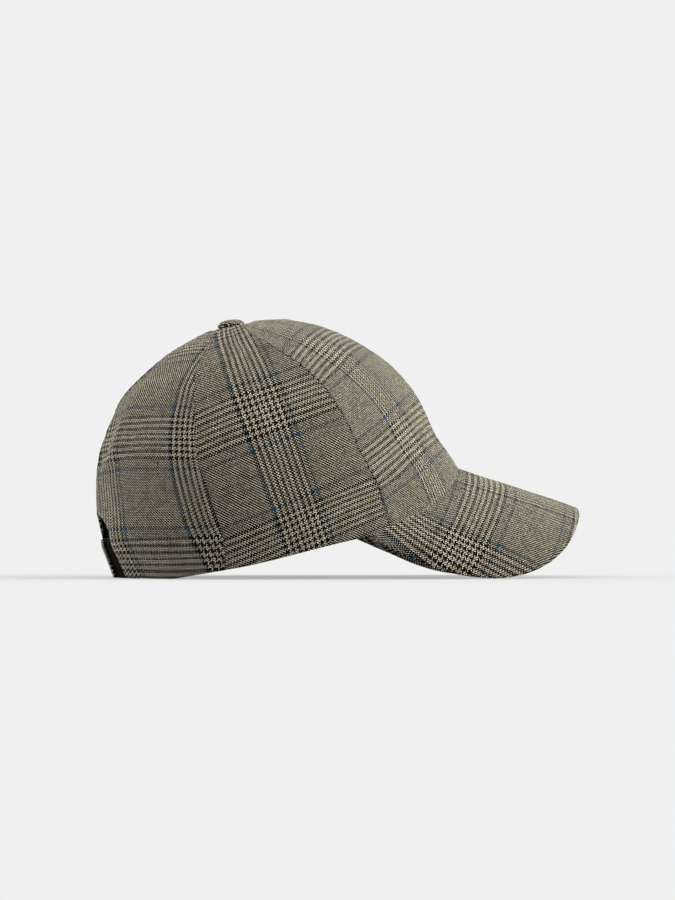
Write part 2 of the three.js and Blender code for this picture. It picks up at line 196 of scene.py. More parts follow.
# The soft fold in the right back panel, from its lower end to its upper end.
FOLD = table(
    "rise azimuth height",
    [
        (0.51, 172, 0.0),
        (0.561, 164, 1.4),
        (0.604, 160, 2.0),
        (0.675, 159, 2.1),
        (0.74, 157, 1.9),
        (0.83, 157, 1.3),
        (0.92, 156, 0.0),
    ],
)


def through_values(values, place):
    """Smooth curve through evenly spaced values, at places from 0 to len(values) - 1."""
    padded = np.concatenate([[2 * values[0] - values[1]], values, [2 * values[-1] - values[-2]]])
    k = np.clip(np.floor(place).astype(int), 0, len(values) - 2)
    t = place - k
    before, a, b, after = (padded[k + step] for step in range(4))
    return (
        a * (1 - 3 * t**2 + 2 * t**3)
        + b * (3 * t**2 - 2 * t**3)
        + (b - before) / 2 * (t - 2 * t**2 + t**3)
        + (after - a) / 2 * (t**3 - t**2)
    )


def section(column, level):
    """One column of SECTIONS at levels from 0, the rim, to 1, the button."""
    return through_values(SECTIONS[column], np.asarray(level, float) * LAST_SECTION)


def seam_azimuth(k, level):
    """Azimuth of seam k, from the middle of the front to the middle of the back."""
    fixed = {0: 0.0, 3: 180.0}
    if k in fixed:
        return np.full(np.shape(level), fixed[k])
    return section(("front_seam", "back_seam")[k - 1], level)


def round_shape(azimuth, level):
    """Round shape of the crown. The azimuth, in degrees, is negative on the right side."""
    angle = np.radians(azimuth)
    front = FRONT_REACH * section("front", level)
    back = BACK_REACH * section("back", level)
    reach = np.where(np.cos(angle) > 0, front, back)
    width = HALF_WIDTH * section("side", level)
    height = CROWN_HEIGHT * section("rise", level)
    return np.stack([reach * np.cos(angle), width * np.sin(angle), height], axis=-1)


def eased(share):
    """A soft start and end for a share that runs from 0 to 1."""
    return share**2 * (3 - 2 * share)


def unit(vectors):
    return vectors / np.maximum(np.linalg.norm(vectors, axis=-1, keepdims=True), 1e-9)


def outward(azimuth, level):
    """Outward direction of the round shape, from two small steps along it."""
    low = np.maximum(level - 0.004, 0)
    high = np.minimum(level + 0.004, 0.995)
    across = round_shape(azimuth + 0.5, level) - round_shape(azimuth - 0.5, level)
    along = round_shape(azimuth, high) - round_shape(azimuth, low)
    return unit(np.cross(across, along))


def facet_inset(azimuth, level):
    """How much a panel is drawn in between its seams."""
    size = np.abs(azimuth)
    seams = [seam_azimuth(k, level) for k in range(4)]
    k = (size >= seams[1]).astype(int) + (size >= seams[2])
    start = np.choose(k, seams[:3])
    end = np.choose(k, seams[1:])
    share = np.clip((size - start) / (end - start), 0, 1)
    along_panel = np.sin(np.pi * np.minimum(level * 1.05, 1)) ** 1.5
    return FACET_DEPTH * 4 * share * (1 - share) * along_panel


def fold_lift(azimuth, level):
    """How far the fold lifts the cloth: a ridge along the fold with a hollow behind it."""
    rise = section("rise", level)
    fold_azimuth = np.interp(rise, FOLD["rise"], FOLD["azimuth"])
    height = np.interp(rise, FOLD["rise"], FOLD["height"], left=0, right=0)
    reach = HALF_WIDTH * section("side", level)
    beside = np.radians(-azimuth - fold_azimuth) * reach / FOLD_WIDTH
    ridge = np.exp(-(beside**2)) - 0.8 * np.exp(-((beside - 1.6) ** 2))
    return np.where(azimuth < 0, height * ridge, 0)


def crown_point(azimuth, level, depth):
    """Point of the crown's cloth at a depth below its outer face."""
    inset = facet_inset(azimuth, level) + depth - fold_lift(azimuth, level)
    return round_shape(azimuth, level) - outward(azimuth, level) * inset[..., None]


def rim_rise(azimuth):
    return FRONT_RIM_RISE * np.interp(np.abs(azimuth), RIM_LINE["azimuth"], RIM_LINE["rise"])


def level_where(passed, shape):
    """Levels where the crown passes a condition that is false at the rim."""
    low = np.zeros(shape)
    high = np.ones(shape)
    for _ in range(34):
        middle = (low + high) / 2
        true = passed(middle)
        high = np.where(true, middle, high)
        low = np.where(true, low, middle)
    return high


# Peak: a flat crescent bent round a cylinder whose axis slopes down to the front.
PEAK_AXIS = np.array([np.cos(PEAK_PITCH), 0, -np.sin(PEAK_PITCH)])
PEAK_RADIAL = np.array([np.sin(PEAK_PITCH), 0, np.cos(PEAK_PITCH)])
SIDEWAYS = np.array([0.0, 1.0, 0.0])


def peak_root_point(azimuth):
    """Outer face of the crown's rim over the peak."""
    azimuth = np.asarray(azimuth, float)
    rise = rim_rise(azimuth)
    level = level_where(lambda l: CROWN_HEIGHT * section("rise", l) > rise, azimuth.shape)
    return crown_point(azimuth, level, 0)


PEAK_ROOT_MIDDLE = peak_root_point(0.0)


def peak_surface(station, share):
    """Upper face of the peak and its outward direction, from its root at share 0 to its edge."""
    size = np.abs(station)
    offset = peak_root_point(station * PEAK_CORNER_AZIMUTH) - PEAK_ROOT_MIDDLE
    height = offset @ PEAK_RADIAL + PEAK_CURVE_RADIUS
    root_across = PEAK_CURVE_RADIUS * np.abs(np.arctan2(offset[..., 1], height))
    root_depth = PEAK_CURVE_RADIUS - np.hypot(offset[..., 1], height)
    place = size * (len(PEAK_EDGE["across"]) - 1)
    left_corner = np.clip((station - LEFT_CORNER_START) / LEFT_CORNER_LENGTH, 0, 1)
    raised = LEFT_CORNER_RAISED * eased(left_corner)
    edge_across = np.maximum(
        PEAK_HALF_SPAN * through_values(PEAK_EDGE["across"], place) - raised,
        root_across + PEAK_CORNER_WIDTH,
    )
    edge_ahead = PEAK_LENGTH * through_values(PEAK_EDGE["ahead"], place)
    across = root_across + (edge_across - root_across) * share
    root_ahead = offset @ PEAK_AXIS + PIECE_GAP
    ahead = root_ahead + (edge_ahead - root_ahead) * share
    angle = np.sign(station) * across / PEAK_CURVE_RADIUS
    normal = np.cos(angle)[..., None] * PEAK_RADIAL + np.sin(angle)[..., None] * SIDEWAYS
    radius = PEAK_CURVE_RADIUS - root_depth * (1 - share) ** 2 - PIECE_GAP
    place = PEAK_ROOT_MIDDLE - PEAK_RADIAL * PEAK_CURVE_RADIUS + ahead[..., None] * PEAK_AXIS
    return place + radius[..., None] * normal, normal


def grid(rows, columns):
    """Two arrays of the same shape, one that varies by row and one that varies by column."""
    return np.meshgrid(rows, columns, indexing="ij")


def peak_underside():
    points, normal = peak_surface(*grid(np.linspace(-1, 1, 45), np.linspace(0, 1, 9)))
    return points - PEAK_THICKNESS * normal


# Tilt that stands the cap on its rear rim and on the lowest points of the peak.
UNDERSIDE = peak_underside()
DROP = rim_rise(180) - UNDERSIDE[..., 2]
REST_TILT = np.arctan2(DROP, UNDERSIDE[..., 0] + REAR_CONTACT).max()


def turned(points):
    """The crown's frame turned to stand on the floor."""
    x, y, z = np.moveaxis(points, -1, 0)
    cosine, sine = np.cos(REST_TILT), np.sin(REST_TILT)
    return np.stack([x * cosine - z * sine, y, x * sine + z * cosine], axis=-1)


PEAK_LOW, PEAK_HIGH = (np.array(corner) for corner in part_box("peak"))
OFFSET = np.array([PEAK_HIGH[0], 0, PEAK_LOW[2]])
UPPER_SIDE, _ = peak_surface(*grid(np.linspace(-1, 1, 45), [0.5, 1]))
TURNED_PEAK = turned(np.concatenate([UNDERSIDE, UPPER_SIDE], 1))
OFFSET = OFFSET - MM * np.array([TURNED_PEAK[..., 0].max(), 0, TURNED_PEAK[..., 2].min()])


def stood(points):
    """Points of the crown's frame, in millimetres, as they stand in the scene, in metres."""
    return turned(points) * MM + OFFSET


def floor_height(x):
    return rim_rise(180) - (x + REAR_CONTACT) * np.tan(REST_TILT)


RIM_AZIMUTHS = np.linspace(0, 180, 361)


def over_peak(azimuth):
    """1 where the rim is sewn to the peak and 0 beyond the peak's corner, with a short change."""
    return np.clip((PEAK_CORNER_AZIMUTH + 1 - np.abs(azimuth)) / 3, 0, 1)


def rim_levels(depth, allowance=0):
    """Level of the rim's edge at RIM_AZIMUTHS, in a layer of cloth at a depth.

    allowance lets the cloth down by so much where the rim is sewn to the peak.
    """
    edge = rim_rise(RIM_AZIMUTHS) - allowance * over_peak(RIM_AZIMUTHS)

    def passed(level):
        point = crown_point(RIM_AZIMUTHS, level, depth)
        return (point[..., 2] > edge) & (point[..., 2] > floor_height(point[..., 0]))

    return level_where(passed, RIM_AZIMUTHS.shape)


def azimuth_beside(azimuth, level, distance):
    """The azimuth a little way round the crown from another, along its surface."""
    length = np.linalg.norm(
        round_shape(azimuth + 0.5, level) - round_shape(azimuth - 0.5, level), axis=-1
    )
    return azimuth + distance / length


def arch_half_width(height):
    share = np.clip((height - ARCH_SPRING) / ARCH_RISE, 0, 1)
    return ARCH_HALF_WIDTH * np.sqrt(1 - share**2)


def azimuth_at_side(distance, level):
    """Azimuth of the crown at a distance beside the middle of the back."""
    width = HALF_WIDTH * section("side", level)
    return 180 - np.degrees(np.arcsin(np.minimum(distance / width, 1)))


TOP_LEVEL = float(
    level_where(lambda l: HALF_WIDTH * section("side", l) < TOP_HOLE_RADIUS, ())
)


# Cloth: glen check, woven as a 2/2 twill. A bold band is seven light stripes, four threads
# wide and four apart, with the middle one three from its neighbours. Between the bands every
# other thread is light.
WARP_PITCH = 0.445
WEFT_PITCH = 0.455
REPEAT = 156  # threads
CENTRE_EDGE = 5  # threads from the middle of the band to the stripe next to its middle one
BAND_EDGE = 29
STRIPE = 4
WARP_REPEAT = REPEAT * WARP_PITCH
WEFT_REPEAT = REPEAT * WEFT_PITCH
WARP_BLUE = (-29, 35)  # threads from the middle of the band
WEFT_BLUE = (-41, 40)
BLUE_HALF_WIDTH = 1.6

# Lines of the check in the photograph: the kind of line, its distance in the cloth from the
# middle of a bold band in millimetres, and the pixels that it passes, as column and row.
STRIPE_1, STRIPE_2, STRIPE_3 = 7 * WARP_PITCH, 15 * WARP_PITCH, 23 * WARP_PITCH
CHECK_MARKS = {
    "side": [
        ("warp", -STRIPE_3, (221.5, 345), (227, 360), (264, 472)),
        ("warp", STRIPE_3, (253, 345), (260, 360), (302.5, 472)),
        ("warp", 0, (283.2, 472)),
        ("warp", -12.9, (228, 388), (252.7, 452), (273.7, 511)),
        ("warp", 15.6, (277.6, 373.7), (298.6, 434), (318.7, 491)),
        ("weft", 0, (200, 435.5), (262, 412), (300, 397.5)),
        ("weft", 18, (228, 388), (277.6, 374), (300, 365.5)),
        ("weft", -19, (207, 469), (252.7, 452), (299, 434), (330, 423)),
        ("weft", 18 - WEFT_REPEAT, (232, 525), (273.7, 511), (318.7, 491)),
        ("weft", -WEFT_REPEAT, (340, 511), (240, 558)),
    ],
    "back": [
        ("warp", 0, (195.7, 480), (200, 500), (205.5, 515)),
        ("warp", -STRIPE_3, (175, 462), (177, 478), (182.5, 500), (188, 515)),
        ("warp", -STRIPE_2, (182, 480)),
        ("warp", -STRIPE_1, (189.5, 486), (200, 516)),
        ("weft", 0, (130, 438.7), (160, 437.7), (175, 437.3)),
        ("weft", 18, (128, 410), (150, 407), (170, 406)),
        ("weft", -18.5, (125, 468), (150, 468), (170, 468.5)),
        ("weft", 18 - WEFT_REPEAT, (130, 528), (180, 529)),
        ("weft", -WEFT_REPEAT, (150, 562.6), (180, 562)),
    ],
    "front": [
        ("warp", -STRIPE_3, (350, 375), (370, 394), (381, 408), (400, 440), (415, 466), (430, 497)),
        (
            "warp",
            STRIPE_3,
            (355, 360), (370, 376), (390, 399), (405, 422), (418, 443), (430, 462), (443, 487),
        ),
        ("weft", STRIPE_3, (297, 349), (305, 343), (320, 330)),
        ("weft", -STRIPE_3, (322, 381), (340, 365), (358, 346)),
        ("weft", 18.5, (287, 345), (304, 328)),
        ("weft", -18, (330, 388), (345, 373), (366, 354)),
        ("weft", 18.5 - WEFT_REPEAT, (382, 421), (397, 405)),
        ("weft", STRIPE_3 - WEFT_REPEAT, (363, 452), (385, 434), (400, 420), (419, 403)),
        ("weft", -STRIPE_3 - WEFT_REPEAT, (383, 485), (400, 472), (420, 452), (438, 436)),
        ("weft", -18 - WEFT_REPEAT, (412, 476), (433, 456)),
    ],
    "peak": [
        ("weft", STRIPE_3, (469, 483), (452, 538)),
        ("weft", -STRIPE_3, (502, 483), (485, 538)),
        ("weft", 0, (484, 500), (478, 514), (472.5, 526)),
        ("weft", 18, (457, 480), (444, 518)),
        ("weft", -17.5, (513, 490), (498, 543), (488, 561)),
        ("weft", 18.5 - WEFT_REPEAT, (565, 510), (558, 543)),
        ("warp", -12.5, (505, 496), (532, 505), (565, 516)),
        ("warp", 12.5 - WARP_REPEAT, (440, 523.5), (492, 547.5), (528, 566)),
    ],
}


def lookup(values, row, column):
    """Smooth value of a grid at fractional rows and columns."""

    def weights(t):
        return (
            (-t + 2 * t**2 - t**3) / 2,
            (2 - 5 * t**2 + 3 * t**3) / 2,
            (t + 4 * t**2 - 3 * t**3) / 2,
            (t**3 - t**2) / 2,
        )

    padded = np.pad(values, ((1, 1), (1, 1), (0, 0)), mode="reflect", reflect_type="odd")
    r = np.clip(np.floor(row).astype(int), 0, values.shape[0] - 2)
    c = np.clip(np.floor(column).astype(int), 0, values.shape[1] - 2)
    result = 0
    for i, row_weight in enumerate(weights(row - r)):
        for j, column_weight in enumerate(weights(column - c)):
            result = result + (row_weight * column_weight)[..., None] * padded[r + i, c + j]
    return result


def gradient_rows(points):
    """For each triangle of a grid of points, two rows that give a value's slope along it."""
    rows, columns = points.shape[:2]
    index = np.arange(rows * columns).reshape(rows, columns)
    a, b = index[:-1, :-1].ravel(), index[:-1, 1:].ravel()
    c, d = index[1:, 1:].ravel(), index[1:, :-1].ravel()
    triangles = np.concatenate([np.stack([a, b, c], 1), np.stack([a, c, d], 1)])
    corner = points.reshape(-1, 3)[triangles]
    first, second = corner[:, 1] - corner[:, 0], corner[:, 2] - corner[:, 0]
    normal = np.cross(first, second)
    area = np.linalg.norm(normal, axis=1) / 2
    x = unit(first)
    y = np.cross(unit(normal), x)
    sides = [np.stack([(side * x).sum(1), (side * y).sum(1)], 1) for side in (first, second)]
    flat = np.stack(sides, 1)
    inverse = np.linalg.inv(flat)
    slopes = np.zeros((len(triangles), 2, rows * columns))
    each = np.arange(len(triangles))
    for k in range(2):
        slopes[each, k, triangles[:, 1]] += inverse[:, k, 0]
        slopes[each, k, triangles[:, 2]] += inverse[:, k, 1]
        slopes[each, k, triangles[:, 0]] -= inverse[:, k, 0] + inverse[:, k, 1]
    return slopes * np.sqrt(area)[:, None, None], np.sqrt(area)


def nearest_turn(jacobian):
    """The rotation nearest to each 2 x 2 matrix."""
    cosine = jacobian[:, 0, 0] + jacobian[:, 1, 1]
    sine = jacobian[:, 0, 1] - jacobian[:, 1, 0]
    size = np.maximum(np.hypot(cosine, sine), 1e-9)
    cosine, sine = cosine / size, sine / size
    return np.stack([np.stack([cosine, sine], 1), np.stack([-sine, cosine], 1)], 1)


SOFTNESS = 0.4  # how much the cloth resists bending to meet its marks


def bending_rows(shape):
    """Second differences of a grid, across it, up it and twisted."""
    count = shape[0] * shape[1]
    index = np.arange(count).reshape(shape)
    one = np.eye(count)
    across = one[index[:, :-2]] - 2 * one[index[:, 1:-1]] + one[index[:, 2:]]
    up = one[index[:-2]] - 2 * one[index[1:-1]] + one[index[2:]]
    twist = one[index[1:, 1:]] - one[index[1:, :-1]] - one[index[:-1, 1:]] + one[index[:-1, :-1]]
    rows = (across, up, np.sqrt(2) * twist)
    return np.concatenate([part.reshape(-1, count) for part in rows])


def lay_cloth(points, marks, mark_rows):
    """Flat places in the cloth, in millimetres, for a grid of points of a panel.

    The cloth keeps its lengths as well as it can, and then bends softly to lay each mark on
    its line. points are in millimetres, with rows upwards and columns to the right.
    """
    slopes, root_area = gradient_rows(points)
    count = points.shape[0] * points.shape[1]
    flat_slopes = slopes.reshape(-1, count)
    stiffness = flat_slopes.T @ flat_slopes + 1e-6 * np.eye(count)
    right = np.linalg.norm(np.diff(points, axis=1), axis=2)
    middle = points.shape[1] // 2
    across = np.cumsum(np.pad(right, ((0, 0), (1, 0))), 1)
    across = across - across[:, middle : middle + 1]
    up = np.cumsum(np.pad(np.linalg.norm(np.diff(points, axis=0), axis=2), ((1, 0), (0, 0))), 0)
    cloth = np.stack([across, np.broadcast_to(up[:, middle : middle + 1], across.shape)], 2)
    cloth = cloth.reshape(-1, 2)
    for _ in range(20):
        jacobian = (slopes @ cloth) / root_area[:, None, None]
        goal = (nearest_turn(jacobian) * root_area[:, None, None]).reshape(-1, 2)
        cloth = np.linalg.solve(stiffness, flat_slopes.T @ goal)

    marked = mark_rows @ cloth
    warp = np.array([m[0] == "warp" for m in marks])
    value = np.array([m[1] for m in marks], float)
    best = None
    for turn in np.radians(np.arange(-180, 180, 2)):
        axes = np.array([[np.cos(turn), -np.sin(turn)], [np.sin(turn), np.cos(turn)]])
        places = marked @ axes
        shift = [np.mean((value - places[:, k])[chosen]) for k, chosen in ((0, warp), (1, ~warp))]
        miss = value - np.where(warp, places[:, 0] + shift[0], places[:, 1] + shift[1])
        if best is None or (miss**2).sum() < best[0]:
            best = ((miss**2).sum(), axes, shift)
    cloth = cloth @ best[1] + best[2]

    bending = bending_rows(points.shape[:2])
    bending = SOFTNESS * bending.T @ bending + 1e-4 * np.eye(count)
    for axis, chosen in enumerate((warp, ~warp)):
        rows = mark_rows[chosen]
        miss = value[chosen] - rows @ cloth[:, axis]
        cloth[:, axis] += np.linalg.solve(bending + rows.T @ rows, rows.T @ miss)
    return cloth.reshape(*points.shape[:2], 2)


def mark_places(surface, marks, shape):
    """Rows that read a grid of the given shape where each mark's pixel meets the surface.

    surface gives points, in the crown's frame, and outward directions for two arrays of shares.
    """
    fine = (161, 121)
    up, right = grid(np.linspace(0, 1, fine[0]), np.linspace(0, 1, fine[1]))
    points, normal = surface(up, right)
    pixels = pixel_of(stood(points))
    seen = (turned(normal) @ TO_CAMERA) > 0.02
    result = []
    for _, _, column, row in marks:
        distance = np.hypot(pixels[..., 0] - column, pixels[..., 1] - row)
        distance = np.where(seen, distance, 1e6)
        r, c = np.unravel_index(distance.argmin(), distance.shape)
        r, c = np.clip(r, 1, fine[0] - 2), np.clip(c, 1, fine[1] - 2)
        upwards, sideways = pixels[r + 1, c] - pixels[r - 1, c], pixels[r, c + 1] - pixels[r, c - 1]
        slope = np.stack([upwards, sideways], 1) / 2
        step = np.linalg.solve(slope, np.array([column, row]) - pixels[r, c])
        step = np.clip(step, -1.5, 1.5)
        place_row = np.clip((r + step[0]) / (fine[0] - 1), 0, 1) * (shape[0] - 1)
        place_column = np.clip((c + step[1]) / (fine[1] - 1), 0, 1) * (shape[1] - 1)
        weights = np.zeros(shape)
        i = min(int(place_row), shape[0] - 2)
        j = min(int(place_column), shape[1] - 2)
        s, t = place_row - i, place_column - j
        weights[i : i + 2, j : j + 2] = np.outer([1 - s, s], [1 - t, t])
        result.append(weights.ravel())
    return np.array(result)


PANELS = ("front", "side", "back")
LAYOUT_SHAPE = (21, 13)


def panel_layout_surface(k):
    """The right panel k between its seams, by shares up it and to the right across it."""

    def surface(up, right):
        level = up * TOP_LEVEL
        azimuth = seam_azimuth(k + 1, level) * (1 - right) + seam_azimuth(k, level) * right
        return crown_point(-azimuth, level, 0), outward(-azimuth, level)

    return surface


def peak_layout_surface(up, right):
    """The peak by shares up from its right corner and to the right from root to edge."""
    return peak_surface(2 * up - 1, right)


def laid(surface, lines):
    marks = [(kind, distance, *pixel) for kind, distance, *pixels in lines for pixel in pixels]
    points, _ = surface(*grid(*(np.linspace(0, 1, count) for count in LAYOUT_SHAPE)))
    return lay_cloth(points, marks, mark_places(surface, marks, LAYOUT_SHAPE))


CLOTH = {name: laid(panel_layout_surface(k), CHECK_MARKS[name]) for k, name in enumerate(PANELS)}
CLOTH["peak"] = laid(peak_layout_surface, CHECK_MARKS["peak"])


def cloth_place(name, up, right):
    """Place in the cloth, in millimetres, at shares up and across a panel."""
    return lookup(CLOTH[name], up * (LAYOUT_SHAPE[0] - 1), right * (LAYOUT_SHAPE[1] - 1))


# Meshes


def edge_distance(points):
    """Distance of each point of a grid from the grid's left, right, lower and upper edges."""
    across = np.linalg.norm(np.diff(points, axis=1), axis=2)
    up = np.linalg.norm(np.diff(points, axis=0), axis=2)
    from_left = np.cumsum(np.pad(across, ((0, 0), (1, 0))), 1)
    from_low = np.cumsum(np.pad(up, ((1, 0), (0, 0))), 0)
    return from_left, from_left[:, -1:] - from_left, from_low, from_low[-1:] - from_low


def edge_steps(length, spacing, radius):
    """Shares along a length, with closer steps round the turned edge at both ends."""
    near = radius * np.array([0, 0.1, 0.35, 0.7, 1.1, 1.7]) / length
    count = max(int(length * (1 - 2 * near[-1]) / spacing), 4)
    return np.concatenate([near, np.linspace(near[-1], 1 - near[-1], count + 1)[1:-1], 1 - near[::-1]])


def slab(name, middle, normal, half, radii, cloth, material, bump=0):
    """A closed piece of cloth about its middle surface, with rounded edges.

    middle and normal are grids in the crown's frame, radii are the lengths over which the left,
    right, lower and upper edges are rounded, or one length for all four, bump is a lift of both
    faces and cloth holds the place in the cloth of each point.
    """
    each_radius = np.broadcast_to(radii, 4)[:, None, None]
    distance = np.min(np.array(edge_distance(middle)) / each_radius, axis=0)
    roundness = np.sqrt(1 - (1 - np.minimum(distance, 1)) ** 2)
    lift = normal * np.broadcast_to(bump, distance.shape)[..., None]
    outer = middle + lift + normal * (half * roundness)[..., None]
    inner = middle + lift - normal * (half * roundness)[..., None]
    rows, columns = distance.shape
    border = np.ones((rows, columns), bool)
    border[1:-1, 1:-1] = False
    outer_index = np.arange(rows * columns).reshape(rows, columns)
    inner_index = outer_index.copy()
    inner_index[~border] = rows * columns + np.arange((~border).sum())
    points = stood(np.concatenate([outer.reshape(-1, 3), inner[~border]]))
    places = np.concatenate([cloth.reshape(-1, 2), cloth[~border]])

    def quads(index):
        corners = (index[:-1, :-1], index[:-1, 1:], index[1:, 1:], index[1:, :-1])
        return np.stack([corner.ravel() for corner in corners], 1)

    faces = np.concatenate([quads(outer_index), quads(inner_index)[:, ::-1]])
    return made_mesh(name, points, faces, places, material)


def made_mesh(name, points, faces, places, material):
    """A smooth mesh with the place in the cloth of each point as its UV map."""
    volume = np.einsum(
        "ij,ij->", points[faces[:, 0]], np.cross(points[faces[:, 1]], points[faces[:, 2]])
    )
    if volume < 0:
        faces = faces[:, ::-1]
    mesh = bpy.data.meshes.new(name)
    mesh.from_pydata(points.tolist(), [], faces.tolist())
    layer = mesh.uv_layers.new(name="ClothMillimetres")
    corners = np.zeros(len(mesh.loops), int)
    mesh.loops.foreach_get("vertex_index", corners)
    layer.data.foreach_set("uv", places[corners].ravel())
    mesh.shade_smooth()
    mesh.materials.append(material)
    piece = bpy.data.objects.new(name, mesh)
    bpy.context.scene.collection.objects.link(piece)
    return piece


def placed(piece, node):
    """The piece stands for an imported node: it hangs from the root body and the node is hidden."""
    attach(piece, "root")
    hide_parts(node)
    return piece


def unevenness(points, wavelength, seed):
    """Smooth ups and downs between about -1 and 1, from a few waves in fixed directions."""
    chosen = np.random.default_rng(seed)
    total = 0
    for _ in range(7):
        direction = unit(chosen.normal(size=3)) * 2 * np.pi / (wavelength * chosen.uniform(0.7, 1.4))
        total = total + np.sin(points @ direction + chosen.uniform(0, 2 * np.pi))
    return total / 3.5


# Materials


def linear(hex_colour):
    """An sRGB hex colour as the linear RGBA that Blender's shaders use."""
    values = np.array([int(hex_colour[k : k + 2], 16) / 255 for k in (1, 3, 5)])
    curved = np.where(values <= 0.04045, values / 12.92, ((values + 0.055) / 1.055) ** 2.4)
    return (*curved, 1.0)


def node(tree, kind, *inputs, output=0, **settings):
    """One output of a new shader node, with its settings, and its inputs set or linked.

    Inputs come in the order of the node's sockets, or as one table by their names or numbers.
    """
    made = tree.nodes.new("ShaderNode" + kind)
    for key, value in settings.items():
        setattr(made, key, value)
    named = inputs and isinstance(inputs[0], dict)
    for key, value in inputs[0].items() if named else enumerate(inputs):
        if isinstance(value, bpy.types.NodeSocket):
            tree.links.new(value, made.inputs[key])
        else:
            made.inputs[key].default_value = value
    return made.outputs[output] if made.outputs else made


def started(name):
    """A new material with its node tree, and the place in the cloth in millimetres."""
    material = bpy.data.materials.new(name)
    material.use_nodes = True
    tree = material.node_tree
    place = node(tree, "UVMap", uv_map="ClothMillimetres")
    u, v = (node(tree, "SeparateXYZ", place, output=axis) for axis in (0, 1))
    return material, tree, u, v


def finished(material, colour, height, depth, finish):
    """The material with its colour, the relief of its threads and the values of its finish."""
    tree = material.node_tree
    shader = tree.nodes["Principled BSDF"]
    bump = node(tree, "Bump", {"Height": height, "Strength": 0.5, "Distance": depth})
    tree.links.new(colour, shader.inputs["Base Color"])
    tree.links.new(bump, shader.inputs["Normal"])
    for key, value in finish.items():
        shader.inputs[key].default_value = value
    return material


FINE_PAINTED_SHADE = 0.66  # painted shade on the single light threads between the bands, which sink in more than the stripes do
PAINTED_RIDGE_SHADE = 0.8  # painted shade in the furrows along the diagonal lines of the weave and painted highlight between them, deep enough to show in the render
WEFT_PAINTED_SHADE = 0.88  # painted shade on the weft, which lies deeper than the warp; it shows the twill's lines


def thread_order(tree, distance, pitch, blue_threads):
    """Which thread of a system lies at a distance across it, how it is dyed and how much painted shade
    it gets.
    """
    threads = node(tree, "Math", distance, pitch, operation="DIVIDE")
    index = node(tree, "Math", threads, operation="FLOOR")
    middle = node(tree, "Math", index, 0.5, operation="ADD")
    signed = node(tree, "Math", middle, REPEAT / 2, -REPEAT / 2, operation="WRAP")
    size = node(tree, "Math", signed, operation="ABSOLUTE")
    in_centre = node(tree, "Math", size, CENTRE_EDGE, operation="LESS_THAN")
    inside = node(tree, "Math", size, BAND_EDGE, operation="LESS_THAN")
    past_centre = node(tree, "Math", size, CENTRE_EDGE, operation="GREATER_THAN")
    in_band = node(tree, "Math", past_centre, inside, operation="MULTIPLY")
    from_stripe = node(tree, "Math", size, CENTRE_EDGE, operation="SUBTRACT")
    in_pair = node(tree, "Math", from_stripe, 2 * STRIPE, operation="FLOORED_MODULO")
    bold = node(tree, "Math", in_pair, STRIPE, operation="LESS_THAN")
    fine = node(tree, "Math", index, 2, operation="FLOORED_MODULO")
    centre = node(tree, "Math", size, STRIPE / 2, operation="LESS_THAN")
    light = node(tree, "Mix", {0: in_band, 2: fine, 3: bold})
    light = node(tree, "Mix", {0: in_centre, 2: light, 3: centre})
    blue = 0.0
    for thread in blue_threads:
        near = node(tree, "Math", signed, thread, BLUE_HALF_WIDTH, operation="COMPARE")
        blue = node(tree, "Math", blue, near, operation="MAXIMUM")
    across = node(tree, "Math", threads, index, operation="SUBTRACT")
    # Painted shade: the threads between the bands are darkened, the bands are not.
    shade = node(tree, "Mix", {0: inside, 2: FINE_PAINTED_SHADE, 3: 1.0})
    return {
        "threads": threads,
        "index": index,
        "across": across,
        "light": light,
        "blue": blue,
        "shade": shade,
    }


BLEND = {"data_type": "RGBA", "output": 2}  # for a node that mixes two colours
CREAM = linear("#efe6cf")
TAN = linear("#c2a372")
DARK = linear("#0b0a09")
BROWN = linear("#3b2a1c")
LIGHT_BLUE = linear("#6c8798")
DARK_BLUE = linear("#12253a")
CROSSED_BLUE = linear("#2c6096")  # where two blue lines cross


def yarn_colour(tree, system, along, seed):
    """Colour of a thread: cream or near black, slubbed, with tan and brown stretches, and painted shade
    on the fine threads between the bands.
    """
    across = system["index"]
    apart = node(tree, "Math", across, 3.7, operation="MULTIPLY")
    where = node(tree, "CombineXYZ", apart, along, seed)
    slub = node(tree, "TexNoise", {"Vector": where, "Scale": 0.6, "Detail": 2})
    slow_across = node(tree, "Math", across, 0.21, operation="MULTIPLY")
    slow_along = node(tree, "Math", along, 0.07, operation="MULTIPLY")
    stretch = node(tree, "CombineXYZ", slow_across, slow_along, seed)
    dyed = node(tree, "TexNoise", {"Vector": stretch, "Scale": 1.0, "Detail": 1})
    odd = node(tree, "MapRange", {"Value": dyed, "From Min": 0.52, "From Max": 0.7, "To Max": 0.8})
    light = node(tree, "Mix", {0: odd, 6: CREAM, 7: TAN}, **BLEND)
    dark = node(tree, "Mix", {0: odd, 6: DARK, 7: BROWN}, **BLEND)
    plain = node(tree, "Mix", {0: system["light"], 6: dark, 7: light}, **BLEND)
    blues = {0: system["light"], 6: DARK_BLUE, 7: LIGHT_BLUE}
    dyed_blue = node(tree, "Mix", blues, **BLEND)
    both = {0: system["blue"], 6: plain, 7: dyed_blue}
    colour = node(tree, "Mix", both, **BLEND)
    thickness = {"Value": slub, "From Min": 0.25, "From Max": 0.75, "To Min": 0.35, "To Max": 1.45}
    shade = node(tree, "MapRange", thickness)
    # The thread's own slubs, times the painted shade of the threads between the bands.
    shade = node(tree, "Math", shade, system["shade"], operation="MULTIPLY")
    return node(tree, "VectorMath", {0: colour, "Scale": shade}, operation="SCALE")


def wave(tree, place, length):
    """Sine wave of a length along a place."""
    turn = node(tree, "Math", place, 2 * np.pi / length, operation="MULTIPLY")
    return node(tree, "Math", turn, operation="SINE")


